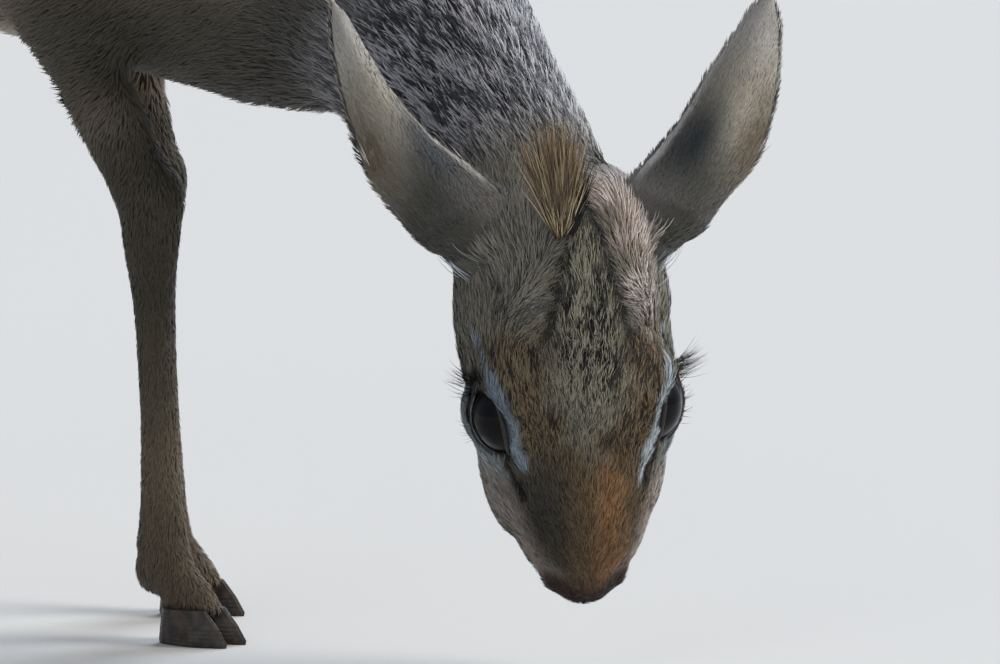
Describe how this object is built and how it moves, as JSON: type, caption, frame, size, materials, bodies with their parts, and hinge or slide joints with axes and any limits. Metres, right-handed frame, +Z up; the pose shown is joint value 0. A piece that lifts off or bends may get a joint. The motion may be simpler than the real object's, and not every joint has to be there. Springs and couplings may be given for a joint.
{
  "type": "dik-dik",
  "caption": "Life-size still model of a hornless dik-dik, a very small antelope, grazing with its head lowered and turned to its right.",
  "frame": {"origin": "centre of the model's box at the height of the floor, under the belly", "axes": "+X towards the breast and head, +Y to the animal's left, +Z up"},
  "size_m": [0.5318, 0.1418, 0.3539],
  "materials": {
    "coat": "short dense fur, matt",
    "ear": "very short fur, matt",
    "leg": "very short fur, matt",
    "eye": "wet gloss",
    "hoof": "smooth dark horn"
  },
  "bodies": {
    "root": {"torso": "coat", "neck": "coat", "head": "coat", "tail": "coat", "ear_left": "ear", "ear_right": "ear", "eye_left": "eye", "eye_right": "eye", "forearm_left": "leg", "forearm_right": "leg", "fore_cannon_left": "leg", "fore_cannon_right": "leg", "shank_left": "leg", "shank_right": "leg", "hind_cannon_left": "leg", "hind_cannon_right": "leg", "hoof_fore_left_a": "hoof", "hoof_fore_left_b": "hoof", "hoof_fore_right_a": "hoof", "hoof_fore_right_b": "hoof", "hoof_hind_left_a": "hoof", "hoof_hind_left_b": "hoof", "hoof_hind_right_a": "hoof", "hoof_hind_right_b": "hoof"}
  },
  "joints": []
}
